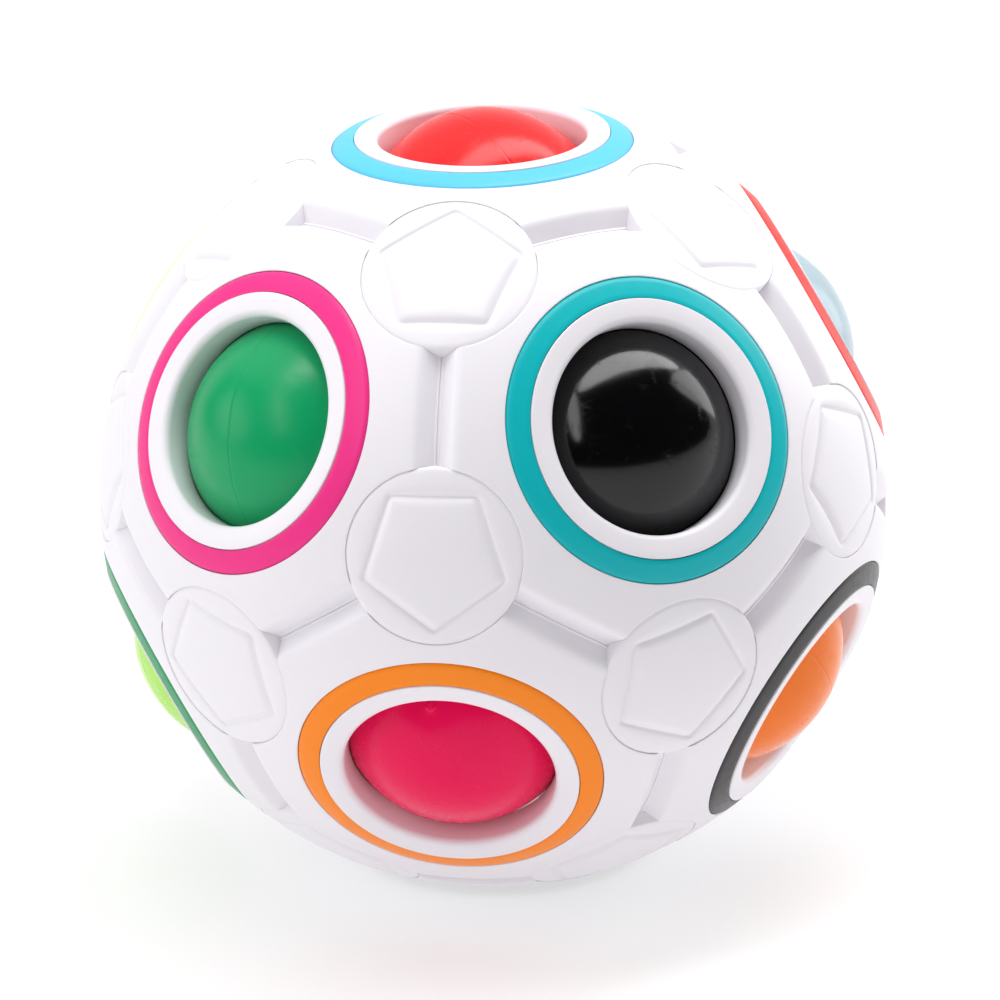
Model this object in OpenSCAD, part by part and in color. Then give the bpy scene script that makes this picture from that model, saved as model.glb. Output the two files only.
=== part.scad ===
// Push-in ball puzzle: a round shell with twelve ring-edged holes and eleven coloured balls.
// Each ball is held out against its hole by a sprung plunger in a central core. A ball next to the
// empty hole is pressed in, rolled along under the shell wall and let out at the empty hole.
// The puzzle stands on the flat lip of its empty bottom hole, which lies at z = 0.

/* [Shell] */
// Outside diameter of the round shell
shell_d = 70; // [69.6:0.2:71]
// Thickness of the shell wall
shell_t = 3.2; // [3.15:0.05:3.25]
// Depth of the flat lip round each hole, below the sphere at the middle of the hole
lip_drop = 1.75; // [1.7:0.05:1.8]
// Radius of a hole where the rounding of its mouth ends
mouth_r = 9.1; // [9.05:0.05:9.3]
// Radius of the mouth's rounding
mouth_round = 0.6; // [0.4:0.05:0.9]

/* [Coloured rings] */
// Inner radius of the channel that a ring lies in
ring_in_r = 11.17; // [11.1:0.01:11.3]
// Outer radius of the channel that a ring lies in
ring_out_r = 13.2; // [13:0.05:13.3]
// Depth of the channel below the lip
ring_deep = 2; // [1.6:0.1:2.1]
// Gap between a ring and the channel's outer wall
ring_gap = 0.12; // [0.05:0.01:0.2]

/* [Grooves and bosses] */
// Width of a groove at the shell's surface
groove_w = 3; // [2.4:0.1:3.2]
// Width of a groove's floor
groove_floor_w = 0.5; // [0.3:0.1:0.8]
// Depth of a groove
groove_deep = 1.3; // [1:0.05:1.35]
// Radius of the round recess where three grooves meet
boss_r = 7.57; // [7.4:0.01:7.6]
// Depth of that recess below the sphere, at its middle
boss_deep = 2.4; // [2.3:0.05:2.4]
// Gap round a boss cap
cap_gap = 0.08; // [0.05:0.01:0.12]
// Corner radius of the five-sided pad on a cap
pad_r = 6.45; // [6.1:0.05:6.8]

/* [Balls] */
// Diameter of a ball
ball_d = 21.7; // [21.65:0.05:21.75]
// Wall of a hollow ball
ball_t = 1.6; // [1.2:0.1:2]
// How far the top of a seated ball stands outside the sphere
ball_proud = 0.25; // [0.2:0.05:0.35]

/* [Core and plungers] */
// Outside radius of a plunger's stem
stem_r = 1.9; // [1.8:0.05:1.95]
// Inside radius of a plunger's stem
stem_in_r = 1.35; // [1.3:0.05:1.4]
// Radius of the flange that keeps a plunger in the core
flange_r = 2.3; // [2.2:0.02:2.3]
// Radius of the round spring seat
seat_r = 4.1; // [3.9:0.05:4.2]
// Diameter of the spring wire
wire_d = 0.4; // [0.3:0.05:0.45]
// Number of turns in a spring
spring_turns = 7; // [6:1:8]

/* [Hidden] */
$fn = 96;
R = shell_d / 2;
IN_R = R - shell_t;
BALL_R = ball_d / 2;
LIP = R - lip_drop;

// A seated ball meets the throat, where its hole opens into the shell, but for a small gap
THROAT_GAP = 0.06;
SEAT = R + ball_proud - BALL_R;
THROAT_H = (IN_R * IN_R - BALL_R * BALL_R + SEAT * SEAT) / (2 * SEAT);
THROAT_R = sqrt(IN_R * IN_R - THROAT_H * THROAT_H) + THROAT_GAP;

// A ball rolls along under the wall with its middle at this distance from the centre
PASS = IN_R - BALL_R - 0.05;
DISH_DEEP = 0.1;
STROKE = SEAT - PASS + DISH_DEEP;

// The core leaves room under a passing ball. Running gaps are between a plunger and its guide
CORE_R = PASS - BALL_R - 0.3;
RUN_GAP = 0.06;
COLLAR_T = 0.85;
FLANGE_T = 0.7;
CAVITY_R = 5.4;
TONGUE_R = 7.6;
TONGUE_W = 0.8;
TONGUE_H = 0.7;

// Distances along a hole axis, from the centre outwards
FLANGE_TOP = CORE_R - COLLAR_T - 0.05;
CROWN = SEAT - BALL_R - 1.3;
PLUNGER_TOP = SEAT - BALL_R + DISH_DEEP;
SPRING_FOOT = seat_r + 0.02;
SPRING_R = stem_in_r - wire_d / 2 - 0.12;
SPIGOT_R = 0.6;
PLUG_R = 1.6;
PLUG_H = 0.4;

// The holes lie at the corners of an icosahedron, the bosses at those of the dodecahedron round
// it, and a groove runs along each of its thirty edges. These are latitudes and half angles
HOLE_LAT = atan(0.5);
BOSS_HIGH = atan((3 + sqrt(5)) / 4);
BOSS_LOW = atan((3 - sqrt(5)) / 4);
HALF_HOLES = 45 - HOLE_LAT / 2;
HALF_GROOVE = (BOSS_HIGH - BOSS_LOW) / 2 - asin(boss_r / R);

// Each hole's name, azimuth and latitude, with the colours of its ring and its ball
HOLES = [
    ["top", 0, 90, "deepskyblue", "red"],
    ["front_right", -54, HOLE_LAT, "turquoise", "black"],
    ["right", 18, HOLE_LAT, "orangered", "lightskyblue"],
    ["back", 90, HOLE_LAT, "yellowgreen", "gold"],
    ["left", 162, HOLE_LAT, "gold", "mediumpurple"],
    ["front_left", 234, HOLE_LAT, "deeppink", "seagreen"],
    ["lower_front", -90, -HOLE_LAT, "darkorange", "crimson"],
    ["lower_right", -18, -HOLE_LAT, "dimgray", "orange"],
    ["lower_back_right", 54, -HOLE_LAT, "mediumpurple", "teal"],
    ["lower_back_left", 126, -HOLE_LAT, "royalblue", "hotpink"],
    ["lower_left", 198, -HOLE_LAT, "forestgreen", "greenyellow"],
    ["bottom", 0, -90, "lightgray", ""]
];
BALLS = 11;

// Each band of five bosses: its name, latitude, azimuth of the first, and for each boss which way
// a flat of its pad faces, in degrees from south towards east: along the groove that leads to its pair
BANDS = [
    ["top", BOSS_HIGH, -90, [0, 120, -120, 120, -120]],
    ["upper_belt", BOSS_LOW, -90, [180, -60, -60, -60, 60]],
    ["lower_belt", -BOSS_LOW, -54, [120, 120, 120, 0, -120]],
    ["bottom", -BOSS_HIGH, -54, [-60, 60, -60, 180, 60]]
];

// The middle of each groove as azimuth and latitude, and its tilt from due east
CAP_GROOVES = [for (i = [0:4]) each [[72 * i - 54, 90 - HALF_HOLES, 0], [72 * i - 90, HALF_HOLES, 90]]];
BELT_GROOVES = [for (i = [0:9]) [36 * i - 72, 0, (i % 2 == 0 ? -1 : 1) * HALF_HOLES]];

function all_named(prefix, list) = [for (entry = list) str(prefix, entry[0])];
BALL_HOLES = [for (i = [0:BALLS - 1]) HOLES[i]];

// ---- Placing ----

// Turns +Z to point at an azimuth and latitude, and +X to point south there
module aim(azimuth, latitude) {
    rotate([0, 90 - latitude, azimuth]) children();
}

// Lifts the puzzle's centre so that the bottom lip lies at z = 0
module stand() {
    translate([0, 0, LIP]) children();
}

module at_hole(hole) {
    stand() aim(hole[1], hole[2]) children();
}

// Children of a half are modelled in the upper half; the lower one is its reflection in the centre
module half(upper) {
    stand() rotate(upper ? 0 : 180) mirror([0, 0, upper ? 0 : 1]) children();
}

module upper_holes() {
    for (i = [0:5]) aim(HOLES[i][1], HOLES[i][2]) children();
}

// ---- Shell ----

// What a hole takes from the shell: throat, rounded mouth, flat lip and the channel for the ring
module hole_cut() {
    mouth = [
        for (a = [180:-22.5:90])
        [mouth_r + mouth_round * (1 + cos(a)), LIP - mouth_round * (1 - sin(a))]
    ];
    channel = [
        [ring_in_r, LIP],
        [ring_in_r, LIP - ring_deep],
        [ring_out_r, LIP - ring_deep],
        [ring_out_r, R + 2],
        [0, R + 2]
    ];
    throat = [[0, IN_R - 6], [THROAT_R, IN_R - 6], [THROAT_R, THROAT_H]];
    rotate_extrude() polygon(concat(throat, mouth, channel));
}

// A groove's V section, swept about the centre from one boss to the next
module groove_cut() {
    over = 1;
    sweep = 2 * (HALF_GROOVE + 1);
    floor_half = groove_floor_w / 2;
    top_half = floor_half + (groove_w / 2 - floor_half) * (groove_deep + over) / groove_deep;
    rotate(-sweep / 2) rotate_extrude(angle = sweep) polygon([
        [R - groove_deep, -floor_half],
        [R + over, -top_half],
        [R + over, top_half],
        [R - groove_deep, floor_half]
    ]);
}

module boss_cut() {
    floor_h = R - boss_deep;
    translate([0, 0, floor_h]) cylinder(r = boss_r, h = boss_deep + 1);
    translate([0, 0, floor_h - PLUG_H - 0.05]) cylinder(r = PLUG_R + 0.05, h = PLUG_H + 1);
}

// The solid angle that the upper half fills. Its rim zigzags between the ten bosses of the belt
module upper_fan() {
    far = 2 * R;
    rim = [
        for (i = [0:9])
        let (azimuth = 36 * i - 90, latitude = i % 2 == 0 ? BOSS_LOW : -BOSS_LOW)
        far * [cos(latitude) * cos(azimuth), cos(latitude) * sin(azimuth), sin(latitude)]
    ];
    polyhedron(
        points = concat([[0, 0, 0], [0, 0, 2 * far]], rim),
        faces = [for (i = [0:9], side = [0, 1])
            let (here = 2 + i, next = 2 + (i + 1) % 10)
            side == 0 ? [0, next, here] : [1, here, next]]
    );
}

// The wall is cut down to its half first, and the holes, grooves and recesses come after
module shell_half(upper) {
    color("white") half(upper) difference() {
        intersection() {
            difference() {
                sphere(r = R);
                sphere(r = IN_R);
            }
            upper_fan();
        }
        upper_holes() hole_cut();
        for (g = concat(CAP_GROOVES, BELT_GROOVES)) rotate([g[2], -g[1], g[0]]) groove_cut();
        for (i = [0:4]) {
            aim(72 * i - 90, BOSS_HIGH) boss_cut();
            aim(72 * i - 90, BOSS_LOW) boss_cut();
            aim(72 * i - 54, -BOSS_LOW) boss_cut();
        }
    }
}

// ---- Pieces set into the shell ----

module ring(hole) {
    foot_h = LIP - ring_deep + 0.02;
    color(hole[3]) at_hole(hole) intersection() {
        sphere(r = R);
        translate([0, 0, foot_h]) difference() {
            cylinder(r = ring_out_r - ring_gap, h = R - foot_h);
            translate([0, 0, -1]) cylinder(r = ring_in_r + 0.05, h = R);
        }
    }
}

// A cap with a plug below it. A shallow engraved line rings the five-sided pad on top
module boss_cap(turn) {
    line_w = 0.35;
    line_deep = 0.3;
    foot_h = R - boss_deep + 0.03;
    difference() {
        intersection() {
            sphere(r = R);
            union() {
                translate([0, 0, foot_h]) cylinder(r = boss_r - cap_gap, h = R - foot_h);
                translate([0, 0, foot_h - PLUG_H]) cylinder(r = PLUG_R, h = PLUG_H + 0.5);
            }
        }
        rotate(turn) difference() {
            pad_line(pad_r, line_deep);
            pad_line(pad_r - line_w / cos(36), line_deep + 1);
        }
    }
}

// A five-sided prism with a flat towards +X. Its foot is as deep below the sphere at the flats
module pad_line(corner_r, deep) {
    flat_r = corner_r * cos(36);
    foot = sqrt(R * R - flat_r * flat_r) - deep;
    translate([0, 0, foot]) rotate(180) cylinder(r = corner_r, h = R, $fn = 5);
}

module boss_caps(band) {
    color("whitesmoke") stand() for (i = [0:4]) {
        aim(band[2] + 72 * i, band[1]) boss_cap(band[3][i]);
    }
}

// ---- Balls ----

// A hollow ball, seated against its throat
module ball(hole) {
    color(hole[4]) at_hole(hole) translate([0, 0, SEAT]) difference() {
        sphere(r = BALL_R);
        sphere(r = BALL_R - ball_t);
    }
}

// ---- Core, plungers and springs ----

// A hollow pin with a retaining flange at its foot and a shallow dish on top for its ball
module plunger(hole) {
    round_r = 0.4;
    color("lightslategray") at_hole(hole) difference() {
        rotate_extrude() polygon([
            [stem_in_r, FLANGE_TOP - FLANGE_T],
            [flange_r, FLANGE_TOP - FLANGE_T],
            [flange_r, FLANGE_TOP],
            [stem_r, FLANGE_TOP],
            [stem_r, PLUNGER_TOP - round_r],
            [stem_r - round_r, PLUNGER_TOP],
            [0, PLUNGER_TOP],
            [0, CROWN],
            [stem_in_r, CROWN]
        ]);
        translate([0, 0, SEAT]) sphere(r = BALL_R + 0.02);
    }
}

// Height of the wire's middle after so many turns: the end coils lie closed, the others open
function coil_h(turn, length) =
    let (closed = wire_d * 1.1, open = (length - 2 * closed) / (spring_turns - 2))
    turn < 1 ? turn * closed :
    turn < spring_turns - 1 ? closed + (turn - 1) * open :
    length - (spring_turns - turn) * closed;

// A round wire of a few flats, wound about +Z
module spring(hole) {
    sides = 6;
    steps = 12;
    rings = spring_turns * steps;
    length = CROWN - 0.02 - SPRING_FOOT - wire_d;
    points = [
        for (j = [0:rings], k = [0:sides - 1])
        let (a = j * 360 / steps, b = k * 360 / sides, reach = SPRING_R + wire_d / 2 * cos(b))
        [reach * cos(a), reach * sin(a), coil_h(j / steps, length) + wire_d / 2 * sin(b)]
    ];
    skin = [
        for (j = [0:rings - 1], k = [0:sides - 1])
        let (next = (k + 1) % sides)
        [j * sides + k, j * sides + next, (j + 1) * sides + next, (j + 1) * sides + k]
    ];
    first = [for (k = [sides - 1:-1:0]) k];
    last = [for (k = [0:sides - 1]) rings * sides + k];
    color("silver") at_hole(hole) translate([0, 0, SPRING_FOOT + wire_d / 2])
        polyhedron(points = points, faces = concat(skin, [first], [last]));
}

// A guide for one plunger: a wide bore from inside, and a narrower collar at the core's surface
module guide_cut() {
    bore_top = CORE_R - COLLAR_T;
    cylinder(r = flange_r + RUN_GAP, h = bore_top);
    cylinder(r = stem_r + RUN_GAP, h = CORE_R + 1);
}

module tongue(wider, higher) {
    translate([0, 0, -higher]) difference() {
        cylinder(r = TONGUE_R + TONGUE_W / 2 + wider, h = 2 * higher);
        translate([0, 0, -1]) cylinder(r = TONGUE_R - TONGUE_W / 2 - wider, h = 2 * higher + 2);
    }
}

// Half of the core. The halves locate on a round tongue and groove
module core_half(upper) {
    color("gainsboro") half(upper) difference() {
        union() {
            intersection() {
                sphere(r = CORE_R);
                cylinder(r = CORE_R + 1, h = CORE_R + 1);
            }
            if (upper) tongue(0, TONGUE_H);
        }
        sphere(r = CAVITY_R);
        upper_holes() guide_cut();
        if (!upper) tongue(0.05, TONGUE_H + 0.05);
    }
}

// The ball that the springs stand on, with a spigot in the foot of each spring
module spring_seat() {
    color("lightgray") stand() {
        sphere(r = seat_r);
        for (hole = HOLES) aim(hole[1], hole[2]) cylinder(r = SPIGOT_R, h = seat_r + 1);
    }
}

// ---- The puzzle ----

shell_half(true);  // shell_upper
shell_half(false);  // shell_lower
for (hole = HOLES) {
    ring(hole);
    plunger(hole);
    spring(hole);
}
for (hole = BALL_HOLES) ball(hole);
for (band = BANDS) boss_caps(band);
core_half(true);  // core_upper
core_half(false);  // core_lower
spring_seat();
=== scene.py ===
"""Looks of the push-in ball puzzle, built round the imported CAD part.

Lengths are in mm until a mesh is made. Points are about the puzzle's centre, but the floor's height is
from the ground. Azimuths are from +X towards +Y, and azimuths and latitudes are in degrees.
"""

import math

import bmesh
import bpy
from mathutils import Matrix, Vector


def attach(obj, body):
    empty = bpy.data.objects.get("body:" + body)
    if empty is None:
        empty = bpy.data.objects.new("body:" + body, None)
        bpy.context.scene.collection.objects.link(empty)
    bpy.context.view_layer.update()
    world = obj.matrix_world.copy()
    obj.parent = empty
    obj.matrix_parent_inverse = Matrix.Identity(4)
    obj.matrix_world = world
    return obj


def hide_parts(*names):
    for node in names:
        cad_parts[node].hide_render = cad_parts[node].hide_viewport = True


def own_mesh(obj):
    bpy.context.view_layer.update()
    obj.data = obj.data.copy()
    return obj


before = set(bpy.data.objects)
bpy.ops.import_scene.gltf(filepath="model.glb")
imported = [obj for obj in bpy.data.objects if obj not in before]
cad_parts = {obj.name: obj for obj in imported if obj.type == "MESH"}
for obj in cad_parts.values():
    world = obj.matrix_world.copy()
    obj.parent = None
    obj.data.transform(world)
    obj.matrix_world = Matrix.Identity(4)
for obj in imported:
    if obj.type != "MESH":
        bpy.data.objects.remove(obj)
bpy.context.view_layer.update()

# ---- Sizes, as in the CAD part: _R is a radius, _H a distance from the centre along an axis ----
MM = 0.001
R, IN_R = 35.0, 31.8
LIP = 33.25
CENTRE = Vector((0, 0, LIP))
MOUTH_R, MOUTH_ROUND = 9.1, 0.6
THROAT_R, THROAT_H = 9.026, 30.51
RING_IN, RING_OUT, RING_DEEP = 11.17, 13.2, 2.0
BOSS_R, BOSS_DEEP = 7.57, 2.4
PLUG_R, PLUG_H = 1.6, 0.4
PAD_R = 6.45
BALL_R = 10.85
SEAT, STROKE = 24.4, 3.6
STEM_R, STEM_IN_R, FLANGE_R = 1.9, 1.35, 2.3
FLANGE_TOP, FLANGE_T = 8.85, 0.7
CROWN, PLUNGER_TOP = 12.25, 13.65
SPRING_R, WIRE_R, TURNS = 1.03, 0.2, 7
SPRING_FOOT, SPRING_GAP = 4.12, 0.02
SPRING_FREE = CROWN - SPRING_GAP - SPRING_FOOT

# ---- Gaps between pieces ----
RING_GAP, RING_FLOOR_GAP = 0.05, 0.02
CAP_GAP, CAP_FLOOR_GAP = 0.015, 0.03
PLUG_GAP = 0.05
BALL_GAP = 0.02
GROUND_GAP = 0.02

HOLE_LAT = math.degrees(math.atan(0.5))
BOSS_HIGH = math.degrees(math.atan((3 + math.sqrt(5)) / 4))
BOSS_LOW = math.degrees(math.atan((3 - math.sqrt(5)) / 4))

# Each hole: azimuth, latitude, ring colour, ball colour
HOLES = {
    "top": (0, 90, (0.1, 0.56, 0.86), (0.76, 0.014, 0.016)),
    "front_right": (-54, HOLE_LAT, (0.0, 0.46, 0.5), (0.002, 0.002, 0.0025)),
    "right": (18, HOLE_LAT, (0.8, 0.03, 0.02), (0.4, 0.52, 0.58)),
    "back": (90, HOLE_LAT, (0.42, 0.68, 0.04), (0.9, 0.6, 0.02)),
    "left": (162, HOLE_LAT, (0.9, 0.84, 0.5), (0.24, 0.06, 0.46)),
    "front_left": (234, HOLE_LAT, (0.88, 0.03, 0.25), (0.0, 0.34, 0.115)),
    "lower_front": (-90, -HOLE_LAT, (1.0, 0.25, 0.004), (0.84, 0.0, 0.085)),
    "lower_right": (-18, -HOLE_LAT, (0.035, 0.033, 0.036), (0.93, 0.19, 0.008)),
    "lower_back_right": (54, -HOLE_LAT, (0.22, 0.07, 0.45), (0.02, 0.07, 0.5)),
    "lower_back_left": (126, -HOLE_LAT, (0.02, 0.09, 0.55), (0.86, 0.2, 0.36)),
    "lower_left": (198, -HOLE_LAT, (0.0, 0.29, 0.1), (0.42, 0.8, 0.1)),
    "bottom": (0, -90, (0.5, 0.51, 0.53), None),
}
UPPER = ("top", "front_right", "right", "back", "left", "front_left")
# How strongly a ball reflects and how rough it is
FINISH = (0.28, 0.2)
FINISHES = {"front_right": (0.42, 0.13), "front_left": (0.3, 0.3), "lower_front": (0.2, 0.26)}
# Which way a ball's nub points, as azimuth and latitude. Elsewhere it is this far east of its hole
NUB_EAST, NUB_LAT = 100, 20
NUBS = {
    "lower_front": (-95.9, 17),
    "front_left": (150, -10),
    "front_right": (120, -60),
    "top": (40, 10),
    "lower_right": (60, 40),
}
# Each band of bosses: latitude, azimuth of the first, and each pad's turn from south towards east
BANDS = {
    "top": (BOSS_HIGH, -90, (0, 120, -120, 120, -120)),
    "upper_belt": (BOSS_LOW, -90, (180, -60, -60, -60, 60)),
    "lower_belt": (-BOSS_LOW, -54, (120, 120, 120, 0, -120)),
    "bottom": (-BOSS_HIGH, -54, (-60, 60, -60, 180, 60)),
}
# Degrees between the five bosses of a band
FIFTH = 72


# ---- Directions ----
def axis_of(azimuth, latitude):
    a, b = math.radians(azimuth), math.radians(latitude)
    return Vector((math.cos(b) * math.cos(a), math.cos(b) * math.sin(a), math.sin(b)))


def put(points, azimuth, latitude, turn=0.0):
    """Turns +Z to an azimuth and latitude, and +X to south there, or that many degrees towards east."""
    m = Matrix.Rotation(math.radians(azimuth), 3, "Z") @ Matrix.Rotation(math.radians(90 - latitude), 3, "Y")
    m = m @ Matrix.Rotation(math.radians(turn), 3, "Z")
    return [m @ p for p in points]


def axes_matrix(x, y, z):
    return Matrix((x, y, z)).transposed()


# ---- Meshes ----
SHARP = 32
MERGE, SHELL_MERGE = 0.0004, 0.01
POLE_R = 0.02


def piece(node, points, faces, body, material, merge=MERGE):
    """A closed mesh that rides a body and stands for one CAD node, which it hides."""
    mesh = bpy.data.meshes.new(node + "_look")
    mesh.from_pydata([(p + CENTRE) * MM for p in points], [], faces)
    bm = bmesh.new()
    bm.from_mesh(mesh)
    bmesh.ops.remove_doubles(bm, verts=bm.verts, dist=merge * MM)
    bmesh.ops.recalc_face_normals(bm, faces=bm.faces)
    for face in bm.faces:
        face.smooth = True
    bm.to_mesh(mesh)
    bm.free()
    mesh.set_sharp_from_angle(angle=math.radians(SHARP))
    mesh.materials.append(material)
    obj = bpy.data.objects.new(node + "_look", mesh)
    bpy.context.scene.collection.objects.link(obj)
    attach(obj, body)
    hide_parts(node)
    return obj


def wrap(rows, cols, closed=False):
    """Faces between rows of points that each go once round. Closed also joins the last row to the first."""
    faces = []
    for j in range(rows if closed else rows - 1):
        a, b = j * cols, (j + 1) % rows * cols
        for k in range(cols):
            n = (k + 1) % cols
            faces.append((a + k, a + n, b + n, b + k))
    return faces


def ends(count, cols):
    """The faces that close the first and last of such rows, for a number of points."""
    return [tuple(range(cols)), tuple(range(count - cols, count))[::-1]]


def lathe(profile, cols, closed=True):
    """Points and faces of a profile of (r, h) turned about +Z."""
    points = []
    for r, h in profile:
        for k in range(cols):
            a = 2 * math.pi * k / cols
            points.append(Vector((r * math.cos(a), r * math.sin(a), h)))
    return points, wrap(len(profile), cols, closed)


def arc(cx, cy, r, start, end, steps):
    """Points (r, h) of an arc, with angles in degrees from +r towards +h."""
    out = []
    for i in range(steps + 1):
        a = math.radians(start + (end - start) * i / steps)
        out.append((cx + r * math.cos(a), cy + r * math.sin(a)))
    return out


def sphere_h(r, radius=R):
    return math.sqrt(radius * radius - r * r)


def skin(rows):
    """Points and faces of rows of equal length."""
    width = len(rows[0])
    points = [p for row in rows for p in row]
    faces = []
    for j in range(len(rows) - 1):
        for i in range(width - 1):
            a = j * width + i
            b = a + width
            faces.append((a, a + 1, b + 1, b))
    return points, faces


def join(parts):
    points, faces = [], []
    for p, f in parts:
        base = len(points)
        points += p
        faces += [tuple(base + i for i in face) for face in f]
    return points, faces


# ---- Shell: one right triangle of the pattern, from hole axis F to groove middle M to boss axis V ----
GROOVE_COLS, BOSS_COLS = 12, 16
COLS = GROOVE_COLS + BOSS_COLS
HALF_HOLES = math.radians(45 - HOLE_LAT / 2)
HALF_BOSSES = math.radians((BOSS_HIGH - BOSS_LOW) / 2)
HOLE_TO_BOSS = math.acos(math.cos(HALF_HOLES) * math.cos(HALF_BOSSES))
CORNER = math.pi / 5
F = Vector((0, 0, 1))
M = Vector((math.sin(HALF_HOLES), 0, math.cos(HALF_HOLES)))
V_SIDE = math.sin(HOLE_TO_BOSS)
V = Vector((V_SIDE * math.cos(CORNER), V_SIDE * math.sin(CORNER), math.cos(HOLE_TO_BOSS)))
ALONG = (V - M * V.dot(M)).normalized()
TO_HOLE = (F - M * F.dot(M)).normalized()
# The plate's rows from the recess's rim to the ring channel, and how far the first of them are sunk
RIM_DROPS = (0.1, 0.025, 0.004)
PLATE_STEPS = (0.0, 0.012, 0.035, 0.1, 0.22, 0.4, 0.6, 0.8, 1.0)
INNER_STEPS = (0, 0.25, 0.5, 0.75, 1)
# A neighbouring hole's axis has a cosine of 0.447 with this one, and the same axis has 1
NEAR, NOT_SAME, SAME = 0.3, 0.9, 0.99


def groove_profile():
    """(distance from the groove's middle, depth) from its crease to the rounded shoulder."""
    crease = [(0.0, 1.42), (0.03, 1.42), (0.05, 1.3), (0.22, 1.3), (0.29, 1.25)]
    wall = [(0.34, 1.19), (0.62, 0.91), (0.9, 0.63), (1.12, 0.41)]
    shoulder = [(1.27, 0.27), (1.42, 0.16), (1.58, 0.08), (1.76, 0.03), (1.96, 0.006), (2.15, 0.0)]
    return crease + wall + shoulder


def groove_row(wide, deep):
    """Points along the groove at one distance from its middle, ending on the boss's recess."""
    radius = R - deep
    flat = math.sqrt(radius * radius - wide * wide)
    reach = math.sqrt(radius * radius - BOSS_R * BOSS_R)
    end = HALF_BOSSES - math.acos(reach / flat)
    row = []
    for i in range(GROOVE_COLS + 1):
        t = end * i / GROOVE_COLS
        row.append(flat * (math.cos(t) * M + math.sin(t) * ALONG) + wide * TO_HOLE)
    return row


def round_boss(start):
    """Points round the recess's rim, from a start point to the line from boss to hole."""
    sx = (F - V * F.dot(V)).normalized()
    sy = V.cross(sx)
    first = math.atan2(start.dot(sy), start.dot(sx))
    out = []
    for i in range(1, BOSS_COLS + 1):
        a = first * (1 - i / BOSS_COLS)
        out.append(BOSS_R * (math.cos(a) * sx + math.sin(a) * sy) + V * sphere_h(BOSS_R))
    return out


def slerp(a, b, t):
    """From a to b round the centre, with the length changing evenly."""
    la, lb = a.length, b.length
    return (a / la).slerp(b / lb, t) * (la + (lb - la) * t)


def hole_row(r, h):
    """One row of the revolve about the hole axis, over the triangle's 36 degrees."""
    out = []
    for i in range(COLS + 1):
        a = CORNER * i / COLS
        out.append(Vector((r * math.cos(a), r * math.sin(a), h)))
    return out


def hole_profile():
    """From the ring channel's outer edge over the lip and mouth to the throat, as (r, h)."""
    edge, sunk, foot = 0.09, 0.02, LIP - RING_DEEP
    shoulder_r, bevel_r = RING_OUT + 0.26, RING_OUT + 0.08
    narrow_r, inner_r = THROAT_R + 0.03, THROAT_R + 0.15
    outer = [(shoulder_r, sphere_h(shoulder_r)), (bevel_r, sphere_h(bevel_r) - sunk)]
    outer += [(RING_OUT, sphere_h(RING_OUT) - edge), (RING_OUT, foot), (RING_IN, foot)]
    lip = arc(RING_IN - edge, LIP - edge, edge, 0, 90, 3)
    mouth = arc(MOUTH_R + MOUTH_ROUND, LIP - MOUTH_ROUND, MOUTH_ROUND, 90, 180, 8)
    throat = [(MOUTH_R - 0.02, LIP - 1.4), (THROAT_R, THROAT_H + 0.12)]
    throat += [(narrow_r, THROAT_H), (inner_r, sphere_h(inner_r, IN_R))]
    return outer + lip + mouth + throat


def outer_rows(groove):
    """Rows of the wall's outside, from the groove's shoulder and the recess's edge to the ring channel."""
    shoulder = groove[-1]
    edge = shoulder + round_boss(shoulder[-1])
    top = hole_row(*hole_profile()[0])
    rows = [[slerp(b, c, t) for b, c in zip(edge, top)] for t in PLATE_STEPS]
    for row, drop in zip(rows, RIM_DROPS):
        for i in range(GROOVE_COLS + 1, COLS + 1):
            row[i] = row[i] * ((R - drop) / R)
    return rows


def recess_rows(groove, rim):
    """Rows of the boss's recess: its wall from the groove's end and the rim, then its floor and pit."""
    floor_h = R - BOSS_DEEP
    pit_r, pit_h = PLUG_R + PLUG_GAP, floor_h - PLUG_H - PLUG_GAP
    top = [row[-1] for row in groove[:-1]] + rim[GROOVE_COLS:]
    sides = [(p - V * p.dot(V)).normalized() for p in top]
    rows = [top]
    for r, h in ((BOSS_R, floor_h), (pit_r, floor_h), (pit_r, pit_h), (0.0, pit_h)):
        rows.append([r * side + V * h for side in sides])
    return rows


def inner_rows():
    """Rows of the wall's inside, from the throat to the line from groove middle to boss."""
    throat = hole_row(*hole_profile()[-1])
    line = []
    for i in range(COLS + 1):
        t = HALF_BOSSES * i / COLS
        line.append(IN_R * (math.cos(t) * M + math.sin(t) * ALONG))
    return [[slerp(a, b, t) for a, b in zip(throat, line)] for t in INNER_STEPS]


def seam_wall(groove, recess, inner):
    """The cut through the wall from groove middle to boss axis, as one flat face."""
    points = groove[0] + [row[0] for row in recess[1:]] + inner[-1][::-1]
    return points, [tuple(range(len(points)))]


def shell_triangle():
    """The triangle's skin, and the cut that closes it where the two halves meet."""
    groove = [groove_row(w, d) for w, d in groove_profile()]
    outer = outer_rows(groove)
    recess = recess_rows(groove, outer[0])
    hole = [hole_row(r, h) for r, h in hole_profile()]
    inner = inner_rows()
    skins = join([skin(groove), skin(outer), skin(recess), skin(hole), skin(inner)])
    return skins, seam_wall(groove, recess, inner)


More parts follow.
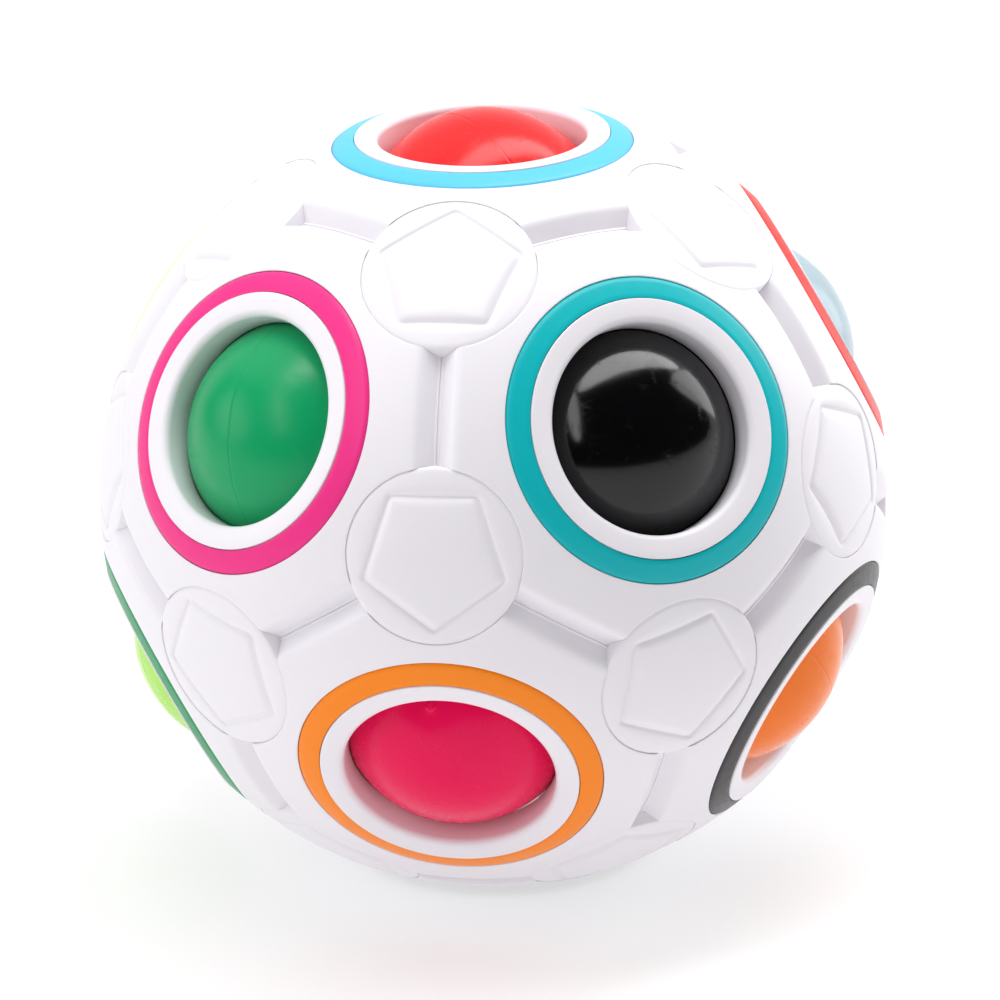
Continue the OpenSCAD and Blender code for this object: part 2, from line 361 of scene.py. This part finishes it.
def shell_half(node, holes, material):
    """Ten triangles round each of six holes, closed along the zigzag seam."""
    skins, wall = shell_triangle()
    every = [axis_of(*h[:2]) for h in HOLES.values()]
    own = [axis_of(*HOLES[h][:2]) for h in holes]
    across = M * (2 * F.dot(M)) - F
    parts = []
    for z in own:
        near = next(a for a in every if NEAR < a.dot(z) < NOT_SAME)
        x = (near - z * near.dot(z)).normalized()
        base = axes_matrix(x, z.cross(x), z)
        for k in range(5):
            for flip in (1, -1):
                m = base @ Matrix.Rotation(2 * math.pi * k / 5, 3, "Z") @ Matrix.Diagonal((1, flip, 1))
                parts.append(([m @ p for p in skins[0]], skins[1]))
                if all((m @ across).dot(a) < SAME for a in own):
                    parts.append(([m @ p for p in wall[0]], wall[1]))
    return piece(node, *join(parts), "frame", material, merge=SHELL_MERGE)


# ---- Rings ----
RING_COLS = 180


def ring_profile():
    """A band with a rounded inner and outer edge, its crown on the sphere."""
    edge, slope = 0.14, 0.06
    foot = LIP - RING_DEEP + RING_FLOOR_GAP
    r0, r1 = RING_IN + RING_GAP, RING_OUT - RING_GAP
    h0, h1 = sphere_h(r0), sphere_h(r1)
    inner = [(r0, foot), (r0, h0 - edge), (r0 + 0.04, h0 - 0.05), (r0 + edge, sphere_h(r0 + edge))]
    crown = [(r0 + (r1 - r0) * t, sphere_h(r0 + (r1 - r0) * t)) for t in (0.25, 0.5, 0.75)]
    outer = [(r1 - edge - 0.02, sphere_h(r1 - edge) - 0.005), (r1 - 0.05, h1 - slope)]
    return inner + crown + outer + [(r1, h1 - edge - slope), (r1, foot)]


# ---- Boss caps ----
PAD_COLS = 120
PAD_BLUNT = 0.985


def pad_radius(angle):
    """The five-sided pad's radius in a direction, with a flat towards 0 and slightly blunt corners."""
    flat = PAD_R * math.cos(math.pi / 5)
    off = (angle + math.pi / 5) % (2 * math.pi / 5) - math.pi / 5
    return min(flat / math.cos(off), PAD_R * PAD_BLUNT)


def pad_rows():
    """(share of the pad, offset, depth below the sphere) for rows from the pad's middle over its line."""
    pad = [(0.02, 0.0, -0.05), (0.3, 0.0, -0.05), (0.6, 0.0, -0.05), (0.8, 0.0, -0.04)]
    bevel = [(1.0, -0.9, -0.03), (1.0, -0.68, 0.0), (1.0, -0.5, 0.05), (1.0, -0.34, 0.13), (1.0, -0.2, 0.22)]
    line = [(1.0, -0.12, 0.25), (1.0, -0.02, 0.25), (1.0, 0.08, 0.19), (1.0, 0.2, 0.11), (1.0, 0.34, 0.05)]
    return pad + bevel + line


def rim_rows(rim_r):
    """(share of the way from the pad's line, radius, depth) for rows out to the cap's rounded rim."""
    plate = [(0.5, rim_r - 0.5, 0.05), (1.0, rim_r - 0.42, 0.05)]
    edge = [(1.0, rim_r - 0.26, 0.07), (1.0, rim_r - 0.12, 0.11)]
    return plate + edge + [(1.0, rim_r - 0.03, 0.16), (1.0, rim_r, 0.22)]


def cap_mesh():
    """One boss cap about +Z, its pad's flat towards +X, with a plug below."""
    rim_r, floor_h = BOSS_R - CAP_GAP, R - BOSS_DEEP + CAP_FLOOR_GAP
    angles = [2 * math.pi * k / PAD_COLS for k in range(PAD_COLS)]
    rows = []
    for share, offset, deep in pad_rows():
        rows.append([(share * pad_radius(a) + offset, deep) for a in angles])
    last = rows[-1]
    for t, r, deep in rim_rows(rim_r):
        rows.append([(p[0] + (r - p[0]) * t, deep) for p in last])
    points = []
    for row in rows:
        for a, (r, deep) in zip(angles, row):
            points.append(Vector((r * math.cos(a), r * math.sin(a), sphere_h(r) - deep)))
    plug_h = floor_h - PLUG_H
    points += lathe([(rim_r, floor_h), (PLUG_R, floor_h), (PLUG_R, plug_h), (POLE_R, plug_h)], PAD_COLS)[0]
    return points, wrap(len(points) // PAD_COLS, PAD_COLS) + ends(len(points), PAD_COLS)


# ---- Balls ----
BALL_COLS, BALL_ROWS = 112, 21
# (radius, drop) of the nub's rows
NUB = ((0.001, 0.0), (0.3, 0.0), (0.42, 0.05), (0.5, 0.16), (0.62, 0.17))
NUB_DIP, DIP_R = 0.17, 1.0
# (latitude, drop) of the seam's rows
SEAM = ((0.6, 0.0), (0.3, 0.03), (-0.3, 0.03), (-0.6, 0.0))
SEAM_EDGE, LAST_LAT = 1.0, 89.9


def ball_row(latitude, drop=0.0):
    """(r, h) on the ball at a latitude, sunk by a drop."""
    a = math.radians(latitude)
    return (BALL_R - drop) * math.cos(a), (BALL_R - drop) * math.sin(a)


def ball_profile():
    """A ball about +Z, with a nub in a shallow dip at its top and a fine seam round it."""
    rows = [(r, sphere_h(r, BALL_R) - drop) for r, drop in NUB]
    start = math.degrees(math.acos(DIP_R / BALL_R))
    for i in range(BALL_ROWS + 1):
        rows.append(ball_row(start - (start - SEAM_EDGE) * i / BALL_ROWS, NUB_DIP * max(0.0, 1 - i / 2)))
    rows += [ball_row(*row) for row in SEAM]
    for i in range(BALL_ROWS + 1):
        rows.append(ball_row(-SEAM_EDGE - (LAST_LAT - SEAM_EDGE) * i / BALL_ROWS))
    return rows


def ball_mesh():
    points, faces = lathe(ball_profile(), BALL_COLS, closed=False)
    return points, faces + ends(len(points), BALL_COLS)


# ---- Plungers and springs ----
PLUNGER_COLS = 64
WIRE_SIDES, COIL_STEPS = 8, 28


def plunger_profile():
    """A hollow stem with a flange and a dished end that fits the ball, as (r, h)."""
    edge, round_r, round_h = 0.08, 0.35, PLUNGER_TOP - 0.4
    flange_foot = FLANGE_TOP - FLANGE_T
    flange = [(STEM_IN_R, flange_foot), (FLANGE_R - edge, flange_foot), (FLANGE_R, flange_foot + edge)]
    flange += [(FLANGE_R, FLANGE_TOP - edge), (FLANGE_R - edge, FLANGE_TOP)]
    stem = [(STEM_R, FLANGE_TOP), (STEM_R, round_h)]
    crown = arc(STEM_R - round_r, round_h, round_r, 20, 80, 3)
    dish = [(r, SEAT - sphere_h(r, BALL_R + BALL_GAP)) for r in (1.3, 0.8, 0.4, POLE_R)]
    inside = [(POLE_R, CROWN), (STEM_IN_R - edge, CROWN), (STEM_IN_R, CROWN - edge)]
    return flange + stem + crown + dish + inside


def coil_height(turn):
    """How high the wire is after a number of turns, with the first and last turn nearly closed."""
    length = SPRING_FREE - 2 * WIRE_R
    close = 2.2 * WIRE_R
    if turn < 1:
        return turn * close
    if turn < TURNS - 1:
        return close + (turn - 1) * (length - 2 * close) / (TURNS - 2)
    return length - (TURNS - turn) * close


def spring_mesh():
    """A fine round wire coiled about +Z."""
    points, count = [], TURNS * COIL_STEPS + 1
    for j in range(count):
        turn = j / COIL_STEPS
        a, h = 2 * math.pi * turn, coil_height(turn)
        for k in range(WIRE_SIDES):
            b = 2 * math.pi * k / WIRE_SIDES
            reach = SPRING_R + WIRE_R * math.cos(b)
            rise = SPRING_FOOT + WIRE_R + h + WIRE_R * math.sin(b)
            points.append(Vector((reach * math.cos(a), reach * math.sin(a), rise)))
    tips = [face[::-1] for face in ends(len(points), WIRE_SIDES)]
    return points, wrap(count, WIRE_SIDES) + tips


# ---- Materials ----
class Shader:
    """A Principled material with its coordinates in mm, and short ways to add detail."""

    def __init__(self, name, colour, roughness, ior=1.49, **sockets):
        self.mat = bpy.data.materials.new(name)
        self.mat.use_nodes = True
        self.nodes, self.links = self.mat.node_tree.nodes, self.mat.node_tree.links
        self.bsdf = self.nodes["Principled BSDF"]
        self.bsdf.inputs["Base Color"].default_value = (*colour, 1)
        self.bsdf.inputs["Roughness"].default_value = roughness
        self.bsdf.inputs["IOR"].default_value = ior
        for key, value in sockets.items():
            self.bsdf.inputs[key.replace("_", " ")].default_value = value
        self.colour, self.roughness = colour, roughness
        self.coords = self.nodes.new("ShaderNodeTexCoord").outputs["Object"]

    def link(self, a, b):
        self.links.new(a, b)

    def noise(self, per_mm, detail=2.0, rough=0.5, distortion=0.0):
        n = self.nodes.new("ShaderNodeTexNoise")
        n.inputs["Scale"].default_value = per_mm / MM
        n.inputs["Detail"].default_value = detail
        n.inputs["Roughness"].default_value = rough
        n.inputs["Distortion"].default_value = distortion
        self.link(self.coords, n.inputs["Vector"])
        return n.outputs["Fac"]

    def ramp(self, value, low, high, out_low, out_high):
        m = self.nodes.new("ShaderNodeMapRange")
        for key, v in (("From Min", low), ("From Max", high), ("To Min", out_low), ("To Max", out_high)):
            m.inputs[key].default_value = v
        self.link(value, m.inputs["Value"])
        return m.outputs["Result"]

    def shade(self, value, strength):
        """Varies the colour a little, lighter and darker, by a value from 0 to 1."""
        darker = [c * (1 - strength) for c in self.colour]
        lighter = [min(1, c * (1 + strength) + strength * 0.02) for c in self.colour]
        m = self.nodes.new("ShaderNodeMix")
        m.data_type = "RGBA"
        m.inputs["A"].default_value = (*darker, 1)
        m.inputs["B"].default_value = (*lighter, 1)
        self.link(value, m.inputs["Factor"])
        self.link(m.outputs["Result"], self.bsdf.inputs["Base Color"])

    def rough(self, value, low, high, amount):
        """Adds to the roughness where the value is high."""
        more = self.ramp(value, low, high, self.roughness, self.roughness + amount)
        self.link(more, self.bsdf.inputs["Roughness"])

    def bump(self, value, height_mm):
        b = self.nodes.new("ShaderNodeBump")
        b.inputs["Strength"].default_value = 1.0
        b.inputs["Distance"].default_value = height_mm * MM
        self.link(value, b.inputs["Height"])
        self.link(b.outputs["Normal"], self.bsdf.inputs["Normal"])


def plastic(name, colour, roughness, mottle=0.03, grain=0.004, **sockets):
    """Moulded plastic with a soft mottle and a fine grain."""
    s = Shader(name, colour, roughness, **sockets)
    s.shade(s.noise(0.12, 3), mottle)
    s.rough(s.noise(1.6, 4, 0.6), 0.35, 0.75, 0.12)
    s.bump(s.noise(2.2, 3, 0.6), grain)
    return s.mat


def ball_plastic(name, colour, shine, roughness):
    """Glossy plastic with faint scuffs and a barely wavy surface."""
    s = Shader(name, colour, roughness, Specular_IOR_Level=shine)
    s.shade(s.noise(0.09, 2), 0.05)
    s.rough(s.noise(0.7, 5, 0.7, 0.6), 0.56, 0.74, 0.25)
    s.bump(s.noise(0.4, 3, 0.5), 0.005)
    return s.mat


def metal(name, colour, roughness):
    """Drawn wire with a slightly uneven surface."""
    s = Shader(name, colour, roughness, Metallic=1.0)
    s.shade(s.noise(0.8, 3), 0.08)
    s.rough(s.noise(3.0, 4), 0.3, 0.8, 0.15)
    s.bump(s.noise(6.0, 2), 0.002)
    return s.mat


# ---- Building ----
def build_shell(white):
    shell_half("shell_upper", UPPER, white)
    shell_half("shell_lower", [h for h in HOLES if h not in UPPER], white)


def build_caps(white):
    points, faces = cap_mesh()
    for band, (latitude, azimuth, turns) in BANDS.items():
        parts = [(put(points, azimuth + FIFTH * i, latitude, turn), faces) for i, turn in enumerate(turns)]
        piece("boss_caps_" + band, *join(parts), "frame", white)


def build_holes():
    """Each hole's ring, plunger, spring and ball, made about +Z and turned to the hole."""
    ring, plunger = lathe(ring_profile(), RING_COLS), lathe(plunger_profile(), PLUNGER_COLS)
    spring, ball = spring_mesh(), ball_mesh()
    pin = plastic("plunger_grey_look", (0.2, 0.21, 0.23), 0.4)
    wire = metal("spring_steel_look", (0.62, 0.62, 0.63), 0.28)
    for hole, (azimuth, latitude, ring_colour, ball_colour) in HOLES.items():
        where, mover = (azimuth, latitude), "plunger_" + hole
        look = plastic("ring_" + hole + "_look", ring_colour, 0.3, Specular_IOR_Level=0.3)
        piece("ring_" + hole, put(ring[0], *where), ring[1], "frame", look)
        piece(mover, put(plunger[0], *where), plunger[1], mover, pin)
        coil = piece("spring_" + hole, put(spring[0], *where), spring[1], "frame", wire)
        shorten(coil)
        if ball_colour:
            look = ball_plastic("ball_" + hole + "_look", ball_colour, *FINISHES.get(hole, FINISH))
            build_ball(hole, where, ball, look)


def shorten(coil):
    """Gives the spring its own copy of its mesh."""
    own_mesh(coil)


def build_ball(hole, where, ball, material):
    nub = NUBS.get(hole, (where[0] + NUB_EAST, NUB_LAT))
    middle = axis_of(*where) * SEAT
    node = "ball_" + hole
    piece(node, [p + middle for p in put(ball[0], *nub)], ball[1], node, material)


def paint_core():
    """The core and spring seat stay as CAD nodes and only get a material."""
    grey = plastic("core_grey_look", (0.55, 0.56, 0.58), 0.42)
    for node in ("core_upper", "core_lower", "spring_seat"):
        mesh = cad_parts[node].data
        mesh.materials.clear()
        mesh.materials.append(grey)


# ---- Studio: the camera's place and lens were worked out from the rings and caps in the photo ----
VIEW_LAT, VIEW_AZ, VIEW_ROLL = 20.0, -81.2, 1.84
DISTANCE = 583.1
SHIFT = (-0.553, 0.714)
LENS, SENSOR = 236.2, 36
FLOOR_WIDE, FLOOR_NEAR, FLOOR_FAR, FLOOR_TOP = 4000.0, -3000.0, 1500.0, 3500.0
FLOOR_BEND, BEND_STEPS = 900.0, 12
# The floor's flat part is split here, round the puzzle
FLOOR_SPLIT = 200.0


def facing(back):
    """Axes of something that looks along -back, level and upright."""
    right = Vector((0, 0, 1)).cross(back).normalized()
    return right, back.cross(right)


def place_camera():
    """The camera stands where the photo was taken from, turned a little about its own axis."""
    data = bpy.data.cameras.new("camera")
    data.lens, data.sensor_width = LENS, SENSOR
    cam = bpy.data.objects.new("camera", data)
    bpy.context.scene.collection.objects.link(cam)
    back = axis_of(VIEW_AZ, VIEW_LAT)
    right, up = facing(back)
    c, s = math.cos(math.radians(VIEW_ROLL)), math.sin(math.radians(VIEW_ROLL))
    e1, e2 = c * right - s * up, s * right + c * up
    place = CENTRE + back * DISTANCE - e1 * SHIFT[0] - e2 * SHIFT[1]
    cam.matrix_world = Matrix.Translation(place * MM) @ axes_matrix(e1, e2, back).to_4x4()
    bpy.context.scene.camera = cam


def light(name, kind, energy):
    data = bpy.data.lights.new(name, kind)
    data.energy = energy
    obj = bpy.data.objects.new(name, data)
    bpy.context.scene.collection.objects.link(obj)
    return obj


def sun(name, azimuth, latitude, angle, strength):
    obj = light(name, "SUN", strength)
    obj.data.angle = math.radians(angle)
    back = axis_of(azimuth, latitude)
    obj.matrix_world = axes_matrix(*facing(back), back).to_4x4()


def softbox(name, place, size, power, along=(1, 0, 0)):
    """An oval light that faces the puzzle.

    Its place and long axis are (right, away, up) as the camera sees them.
    """
    right, away = axis_of(VIEW_AZ + 90, 0), axis_of(VIEW_AZ + 180, 0)
    spot, long_axis = [right * v[0] + away * v[1] + Vector((0, 0, v[2])) for v in (place, along)]
    obj = light(name, "AREA", power)
    obj.data.shape, obj.data.size, obj.data.size_y = "ELLIPSE", size[0] * MM, size[1] * MM
    back = spot.normalized()
    x = (long_axis - back * long_axis.dot(back)).normalized()
    obj.matrix_world = Matrix.Translation((CENTRE + spot) * MM) @ axes_matrix(x, back.cross(x), back).to_4x4()


def floor_profile():
    """(y, z) of the floor from near the camera to far behind the puzzle, where it curves up."""
    profile = [(y, 0.0) for y in (FLOOR_NEAR, -FLOOR_SPLIT, FLOOR_SPLIT, FLOOR_FAR)]
    for i in range(1, BEND_STEPS + 1):
        a = math.pi / 2 * i / BEND_STEPS
        profile.append((FLOOR_FAR + FLOOR_BEND * math.sin(a), FLOOR_BEND * (1 - math.cos(a))))
    return profile + [(FLOOR_FAR + FLOOR_BEND, FLOOR_TOP)]


def floor_sweep(material):
    """A pale floor, just below the lowest lip so that the two don't share a plane."""
    profile = floor_profile()
    mesh = bpy.data.meshes.new("floor")
    points = [(x * MM, y * MM, (z - GROUND_GAP) * MM) for y, z in profile for x in (-FLOOR_WIDE, FLOOR_WIDE)]
    mesh.from_pydata(points, [], [(2 * j, 2 * j + 1, 2 * j + 3, 2 * j + 2) for j in range(len(profile) - 1)])
    for p in mesh.polygons:
        p.use_smooth = True
    mesh.materials.append(material)
    floor = bpy.data.objects.new("floor", mesh)
    bpy.context.scene.collection.objects.link(floor)


def floor_material():
    """A pale backlit sheet, which keeps shadows faint."""
    s = Shader("floor_look", (0.5, 0.5, 0.5), 0.9, Specular_IOR_Level=0.1)
    s.shade(s.noise(0.02, 2), 0.004)
    s.bsdf.inputs["Emission Color"].default_value = (1, 1, 1, 1)
    s.bsdf.inputs["Emission Strength"].default_value = 0.5
    return s.mat


def light_studio():
    """A sky that stays out of reflections, a soft sun from behind, and an arch of oval lights."""
    world = bpy.data.worlds.new("studio")
    bpy.context.scene.world = world
    world.use_nodes = True
    sky = world.node_tree.nodes["Background"]
    sky.inputs["Color"].default_value = (1, 0.99, 1, 1)
    sky.inputs["Strength"].default_value = 0.32
    world.cycles_visibility.glossy = False
    sun("day", 120, 62, 75, 1.15)
    softbox("top", (95, 70, 460), (860, 165), 2.1, along=(0.8, 0.6, 0))
    softbox("right", (460, 250, 190), (230, 540), 0.85)
    softbox("near_left", (-268, -319, 375), (100, 460), 0.45)
    softbox("left", (-560, -40, 200), (300, 460), 0.7)
    floor_sweep(floor_material())
    bpy.context.scene.view_settings.view_transform = "Standard"
    bpy.context.scene.view_settings.look = "None"


white_look = plastic("shell_white_look", (0.865, 0.835, 0.885), 0.36, mottle=0.012, grain=0.003)
build_shell(white_look)
build_caps(white_look)
build_holes()
paint_core()
place_camera()
light_studio()
